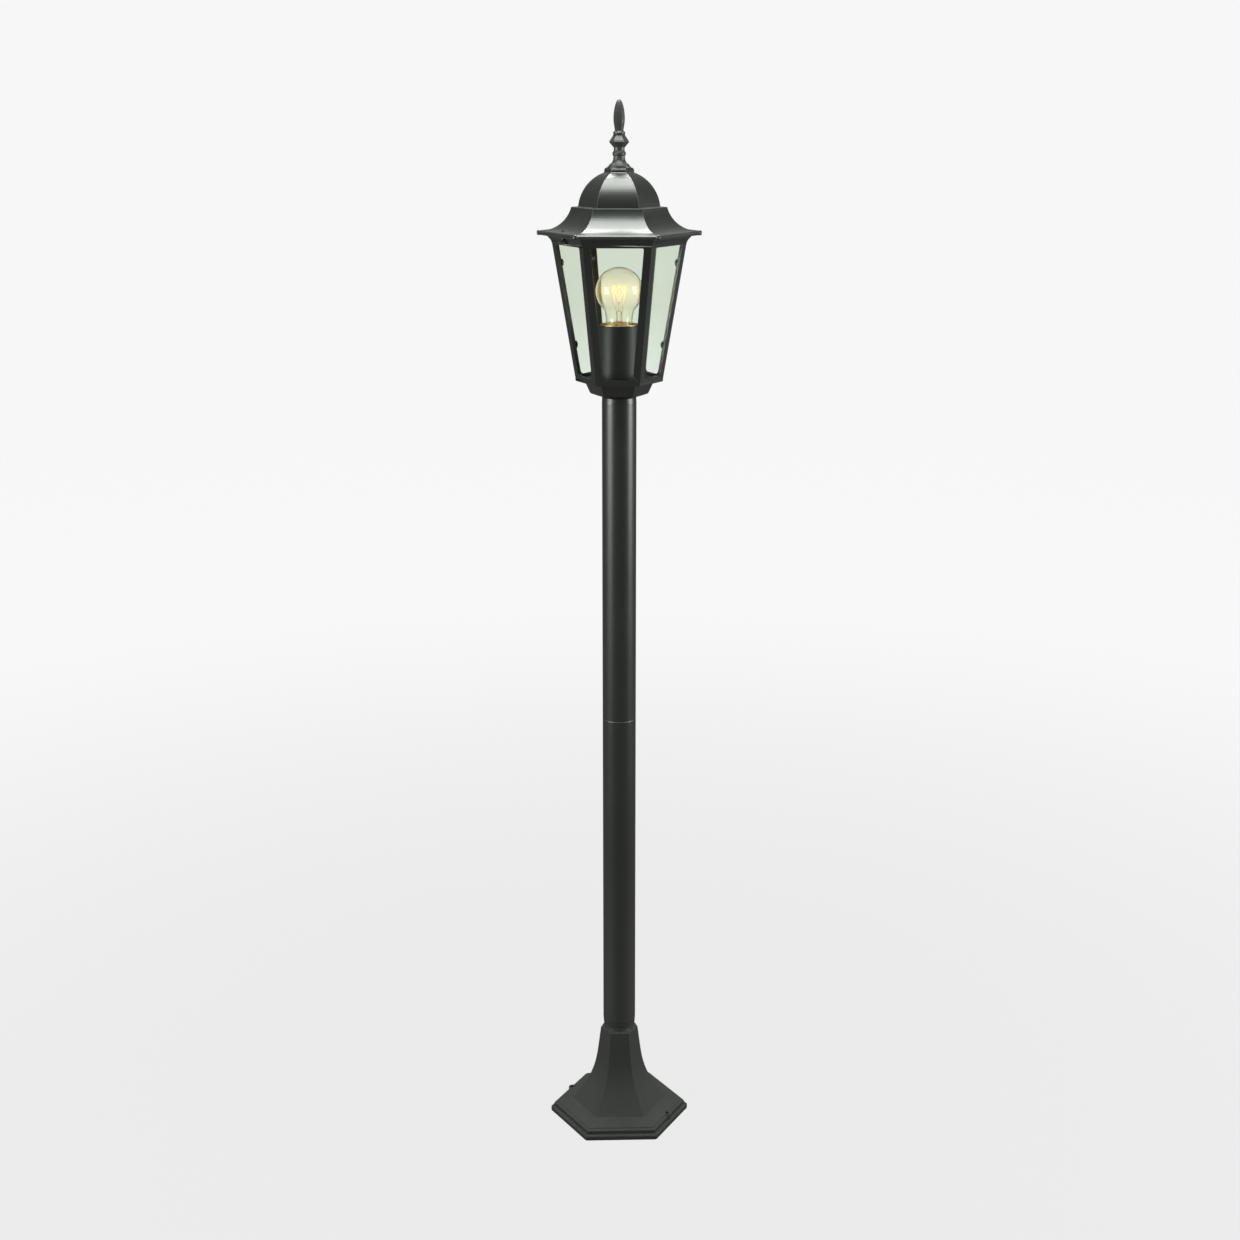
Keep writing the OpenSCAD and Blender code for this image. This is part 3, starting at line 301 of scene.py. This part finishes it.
pane_glass = window_glass()
print(f"window glass, from {pane_low.z / MM:.0f} mm up")

# %% Blown glass
filament_low, filament_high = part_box("bulb_filament")
filament_z = (filament_low.z + filament_high.z) / 2
GLASS_GLOW_REACH = 26 * MM


def blown_glass(name, colour, ripple):
    glass = Finish(name)
    wave = glass.noise(ripple, 2)
    # The emission near the filament's height is a painted glow on the glass.
    gap = glass.maths("ABSOLUTE", glass.height() - filament_z)
    near = glass.maths("MAXIMUM", 1 - gap / GLASS_GLOW_REACH) ** 1.5
    body = glass.node("BsdfPrincipled", {}, {
        "Base Color": colour,
        "Roughness": 0.0,
        "IOR": 1.47,
        "Transmission Weight": 1.0,
        "Emission Color": glass.mix(near, (0.18, 0.13, 0.04), (1.0, 0.62, 0.20)),
        "Emission Strength": 0.085,
        "Normal": glass.bump(wave, 0.05 * MM, 0.4),
    })
    clear = glass.node("BsdfTransparent", {}, {"Color": colour})
    lamp_ray = glass.node("LightPath", out="Is Shadow Ray")
    return glass.surface(glass.node("MixShader", {}, {0: lamp_ray, 1: body, 2: clear}))


bulb_glass = blown_glass("bulb_glass", (1.0, 0.99, 0.94), 14 * MM)
print(f"bulb glass, warmest at {filament_z / MM:.0f} mm")

# %% [markdown]
# ## Bright metals
# Screws, nuts and brackets are zinc plated steel, with the cloudy crystals of the bath and fine
# scratches. The clips on the panes and their screws are a darker, rougher zinc, and the two roof
# screws are blackened.
# The screw shell and the ring are brass, and the cap of the bulb is nickel. Each could have a
# finish of its own, but one function makes them all, because they differ only in colour, gloss
# and grain.

# %% Plated metal
def plated_metal(name, colour, dull_colour, gloss, grain):
    metal = Finish(name)
    crystals = metal.noise(grain, 4)
    rubbed = metal.noise(grain * 0.3, 2, metal.stretched(1, 1, 0.12))
    shade = metal.mix(crystals, colour, dull_colour)
    shader = metal.node("BsdfPrincipled", {}, {
        "Base Color": shade,
        "Metallic": 1.0,
        "Roughness": gloss + crystals * 0.16 + rubbed * 0.08,
        "Normal": metal.bump(rubbed * 0.5 + crystals * 0.5, 0.02 * MM, 0.5),
    })
    return metal.surface(shader)


zinc = plated_metal("zinc_plate", (0.70, 0.71, 0.73), (0.50, 0.52, 0.55), 0.22, 4 * MM)
brass = plated_metal("brass", (0.80, 0.60, 0.26), (0.62, 0.44, 0.18), 0.20, 5 * MM)
nickel = plated_metal("cap_nickel", (0.78, 0.75, 0.68), (0.62, 0.60, 0.54), 0.16, 6 * MM)
dark_rough_zinc = plated_metal("dark_rough_zinc", (0.17, 0.175, 0.17), (0.10, 0.105, 0.10), 0.46, 3 * MM)
blackened = plated_metal("blackened_steel", (0.050, 0.052, 0.050), (0.030, 0.032, 0.030), 0.34, 3 * MM)
print("metals ready")

# %% [markdown]
# ## Mouldings, rubber and ceramic
# The shroud is a black moulding with a softer shine than the coat, the terminal block is white
# plastic, the lead and the grommet are rubber, and the lampholder's body is glazed porcelain.
# They could be modelled down to the mould marks, which nobody would see. All are one kind of
# surface here: a colour that drifts, a roughness and a grain.

# %% Moulded surface
def moulded(name, colour, second_colour, gloss, grain, depth):
    body = Finish(name)
    grains = body.noise(grain, 3)
    drift = body.noise(30 * MM, 2)
    shader = body.node("BsdfPrincipled", {}, {
        "Base Color": body.mix(drift, colour, second_colour),
        "Roughness": gloss + (grains - 0.5) * 0.12,
        "Normal": body.bump(grains, depth, 0.5),
    })
    return body.surface(shader)


SHROUD_TONES = (0.018, 0.0185, 0.020), (0.022, 0.0225, 0.025)
BLOCK_TONES = (0.80, 0.80, 0.76), (0.74, 0.74, 0.69)
RUBBER_TONES = (0.020, 0.020, 0.020), (0.030, 0.029, 0.028)
PORCELAIN_TONES = (0.84, 0.83, 0.79), (0.78, 0.76, 0.71)
CAP_GLASS_TONES = (0.016, 0.014, 0.022), (0.030, 0.026, 0.036)

shroud_black = moulded("shroud_moulding", *SHROUD_TONES, 0.50, 0.7 * MM, 0.03 * MM)
block_white = moulded("block_plastic", *BLOCK_TONES, 0.45, 0.5 * MM, 0.02 * MM)
rubber = moulded("rubber", *RUBBER_TONES, 0.60, 0.4 * MM, 0.03 * MM)
porcelain = moulded("porcelain", *PORCELAIN_TONES, 0.12, 3 * MM, 0.03 * MM)
cap_glass = moulded("cap_insulator", *CAP_GLASS_TONES, 0.10, 2 * MM, 0.02 * MM)
print("mouldings ready")

# %% [markdown]
# ## Glowing wire
# The filament glows, and the wires that hold it get a painted glow near the top, partly the real
# heat where they touch the filament and mostly a stand-in for its light on them. The glow is a
# colour that changes along the height, so the wires go from dull steel at the stem to orange
# where they touch the filament. A lamp alone would light the wire without making it bright.

# %% Filament and wires
WIRE_GLOW_REACH = 30 * MM


def glowing_wire(name, colour, light, strength):
    wire = Finish(name)
    mottle = wire.noise(1.5 * MM, 2)
    # The wires' emission is a painted glow that fades down from the filament.
    painted_glow = wire.span(wire.height(), filament_z - WIRE_GLOW_REACH, filament_z)
    shader = wire.node("BsdfPrincipled", {}, {
        "Base Color": wire.mix(mottle, colour, tuple(0.7 * c for c in colour)),
        "Metallic": 1.0,
        "Roughness": 0.25 + mottle * 0.2,
        "Emission Color": wire.mix(painted_glow ** 2, grey(0), light),
        "Emission Strength": strength,
    })
    return wire.surface(shader)


wire_steel = glowing_wire("lead_in_wire", (0.62, 0.52, 0.38), (1.0, 0.46, 0.08), 5.0)
tungsten = glowing_wire("filament_tungsten", (0.30, 0.29, 0.28), (1.0, 0.52, 0.10), 3.0)
print(f"wires hot from {(filament_z - WIRE_GLOW_REACH) / MM:.0f} to {filament_z / MM:.0f} mm")

# %% [markdown]
# ## Give each node its finish
# The record says which material slot each node belongs to, so the finishes are dealt out by slot,
# and no node can be forgotten. A few pieces then get a finish of their own: the finial a lighter
# coat, which is painted light, the roof a coat with a painted highlight along its ridges, and the
# clips and their screws a darker, rougher zinc.

# %% Deal out the finishes
finish_of_slot = {
    "cast_black": cast_coat,
    "tube_black": tube_coat,
    "zinc_plate": zinc,
    "black_screw": blackened,
    "white_plastic": block_white,
    "holder_ceramic": porcelain,
    "brass": brass,
    "rubber": rubber,
    "window_glass": pane_glass,
    "shroud_black": shroud_black,
    "bulb_glass": bulb_glass,
    "bulb_wire": wire_steel,
    "cap_metal": nickel,
    "cap_insulator": cap_glass,
}
slot_of_node = {row["node"]: row["material_slot"] for row in frame["record"]["subparts"]}
for name, node in nodes.items():
    node.data.materials.clear()
    node.data.materials.append(finish_of_slot[slot_of_node[name]])
OWN_FINISH = {
    "finial": finial_lit_coat,
    "roof": roof_highlight_coat,
    "pane_clips": dark_rough_zinc,
    "clip_screws": dark_rough_zinc,
}
for name, finish in OWN_FINISH.items():
    nodes[name].data.materials[0] = finish
print(f"{len(slot_of_node)} nodes finished from {len(finish_of_slot)} slots")
print(f"{len(OWN_FINISH)} of them with a finish of their own")

# %% [markdown]
# ## The wound filament
# A filament is a fine wire wound into a coil, and the coil runs in a half ring round the front of
# its supports, in a low arch from each one to the next. The frame holds only a plain half ring. A
# helix could be a curve with a screw modifier, but a few lines of mesh code follow the arches
# exactly, so a tube is swept along them.

# %% Wind the filament
RING_R = 8 * MM
COIL_R = 0.8 * MM
WIRE_R = 0.24 * MM
COIL_TURNS = 30
ARCHES = 3
ARCH_RISE = 5 * MM
STEPS_PER_TURN = 10
SIDES = 6


def coil_point(t):
    along = math.pi + math.pi * t
    twist = 2 * math.pi * COIL_TURNS * t
    out = Vector((math.cos(along), math.sin(along), 0))
    rise = ARCH_RISE * abs(math.sin(ARCHES * math.pi * t))
    centre = out * RING_R + Vector((0, 0, filament_z + rise))
    return centre + out * COIL_R * math.cos(twist) + Vector((0, 0, COIL_R * math.sin(twist)))


def swept_tube(name, points, radius, sides):
    verts, faces = [], []
    for i, point in enumerate(points):
        ahead = points[min(i + 1, len(points) - 1)] - points[max(i - 1, 0)]
        across = ahead.cross(Vector((0, 0, 1))).normalized()
        upward = across.cross(ahead).normalized()
        for k in range(sides):
            angle = 2 * math.pi * k / sides
            verts.append(point + radius * (math.cos(angle) * across + math.sin(angle) * upward))
    for i in range(len(points) - 1):
        for k in range(sides):
            m = (k + 1) % sides
            faces.append((i * sides + k, i * sides + m, (i + 1) * sides + m, (i + 1) * sides + k))
    faces.append(tuple(reversed(range(sides))))
    faces.append(tuple(range((len(points) - 1) * sides, len(points) * sides)))
    mesh = bpy.data.meshes.new(name)
    mesh.from_pydata(verts, [], faces)
    mesh.polygons.foreach_set("use_smooth", [True] * len(mesh.polygons))
    tube = bpy.data.objects.new(name, mesh)
    bpy.context.scene.collection.objects.link(tube)
    return tube


steps = COIL_TURNS * STEPS_PER_TURN
coil = swept_tube("filament_coil", [coil_point(i / steps) for i in range(steps + 1)], WIRE_R, SIDES)
coil.data.materials.append(tungsten)
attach(coil, "bulb")
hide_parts("bulb_filament")
print(f"{COIL_TURNS} turns, {len(coil.data.vertices)} points")

# %% [markdown]
# ## Softened edges
# A casting has no knife edges: the sand and the powder round them, and each rounded edge carries
# a thin line of light. The shapes could be rebuilt with fillets, but a Bevel modifier on the
# sharp edges alone does it. The mesh comes in with its corners split, so a Weld joins them first.

# %% Soften the castings
SHARP_FROM = math.radians(24)
SAME_POINT = 0.002 * MM
SOFT_EDGES = {"roof": 0.7, "lantern_cage": 0.5, "lantern_cup": 0.6, "base_casting": 0.7, "finial": 0.35}
for name, width in SOFT_EDGES.items():
    weld = nodes[name].modifiers.new("join_corners", "WELD")
    weld.merge_threshold = SAME_POINT
    bevel = nodes[name].modifiers.new("soften", "BEVEL")
    bevel.width = width * MM
    bevel.segments = 2
    bevel.angle_limit = SHARP_FROM
    bevel.harden_normals = True
print(f"{len(SOFT_EDGES)} castings softened")

# %% [markdown]
# ## The studio
# A dark glossy thing is lit by what it mirrors. One broad light hangs over the front of the
# lantern and another over its back, so that the front faces of the roof catch a sheen, and a weak
# one stands further behind. Two large soft lights at the sides draw the two long bands on the
# tube. A white room could do without lamps, but it would wash the black out. So the floor and the
# far room glow evenly for the eye and through glass, and are dim in everything they light.

# %% Floor and room
PALE_NEAR = 0.80
PALE_FAR = 0.93
FLOOR_DIM = 0.14
FLOOR_R = 9.0
FAR_FROM, FAR_TO = 0.5, 3.0
FADED_AT = FLOOR_R - 0.5
FLOOR_GAP = 0.05 * MM
ROOM_PALE = (PALE_FAR, PALE_FAR, PALE_FAR * 1.003)
ROOM_DIM = (0.12, 0.125, 0.12)


def pale_floor():
    paper = Finish("pale_floor")
    away = paper.node("VectorMath", {"operation": "LENGTH"}, {0: paper.place()}, out="Value")
    far = paper.span(away, FAR_FROM, FAR_TO, "SMOOTHSTEP")
    level = PALE_NEAR + (PALE_FAR - PALE_NEAR) * far
    even = paper.node("CombineColor", {}, {0: level, 1: level, 2: level})
    pale = paper.mix(paper.seen(), grey(FLOOR_DIM), even)
    glow = paper.node("Emission", {}, {"Color": pale, "Strength": 1.0})
    fleck = paper.mix(paper.noise(4 * MM, 3), grey(0.020), grey(0.022))
    soft = paper.node("BsdfDiffuse", {}, {"Color": fleck})
    lit = paper.node("AddShader", {}, {0: glow, 1: soft})
    clear = paper.node("BsdfTransparent")
    edge = paper.span(away, FAR_TO, FADED_AT, "SMOOTHSTEP")
    return paper.surface(paper.node("MixShader", {}, {0: edge, 1: lit, 2: clear}))


def room_air():
    room = Finish("room", bpy.data.worlds.new("room"))
    pale = room.node("Background", {}, {"Color": ROOM_PALE})
    dim = room.node("Background", {}, {"Color": ROOM_DIM})
    return room.surface(room.node("MixShader", {}, {0: room.seen(), 1: dim, 2: pale}), "OutputWorld")


def disc(name, radius, z, spokes=96):
    turns = [2 * math.pi * k / spokes for k in range(spokes)]
    ring = [(radius * math.cos(turn), radius * math.sin(turn), z) for turn in turns]
    mesh = bpy.data.meshes.new(name)
    mesh.from_pydata(ring, [], [tuple(range(spokes))])
    made = bpy.data.objects.new(name, mesh)
    bpy.context.scene.collection.objects.link(made)
    return made


floor = disc("floor", FLOOR_R, frame_low.z - FLOOR_GAP)
floor.data.materials.append(pale_floor())
bpy.context.scene.world = room_air()
print(f"floor {2 * FLOOR_R:.0f} m across, room ready")

# %% Lights
ROOF_EAVES = Vector((0, 0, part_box("roof")[0].z))
TUBE_UPPER = Vector((0, 0, 0.9))


def lamp(name, kind, place, watts):
    data = bpy.data.lights.new(name, kind)
    data.energy = watts
    light = bpy.data.objects.new(name, data)
    light.location = place
    light.visible_camera = False
    light.visible_transmission = False
    bpy.context.scene.collection.objects.link(light)
    return light


def soft_light(name, place, aim, size, watts):
    light = lamp(name, "AREA", place, watts)
    light.data.shape = "RECTANGLE"
    light.data.size, light.data.size_y = size
    light.rotation_euler = (aim - Vector(place)).to_track_quat("-Z", "Y").to_euler()


soft_light("overhead", (0, -0.35, 2.9), ROOF_EAVES, (1.2, 1.3), 48)
soft_light("over_back", (0, 0.80, 2.88), ROOF_EAVES, (0.9, 0.8), 42)
soft_light("behind", (0, 1.8, 2.7), ROOF_EAVES, (0.8, 0.5), 2)
soft_light("left_band", (-2.2, -0.95, 1.15), TUBE_UPPER, (1.2, 1.3), 42)
soft_light("right_band", (2.35, -0.45, 1.15), TUBE_UPPER, (1.1, 1.3), 42)

bulb_glow = lamp("bulb_glow", "POINT", (0, 0, filament_z), 0.3)
bulb_glow.data.color = (1.0, 0.62, 0.22)
bulb_glow.data.shadow_soft_size = 6 * MM
bulb_glow.visible_glossy = False
bpy.context.scene.view_settings.view_transform = "Standard"
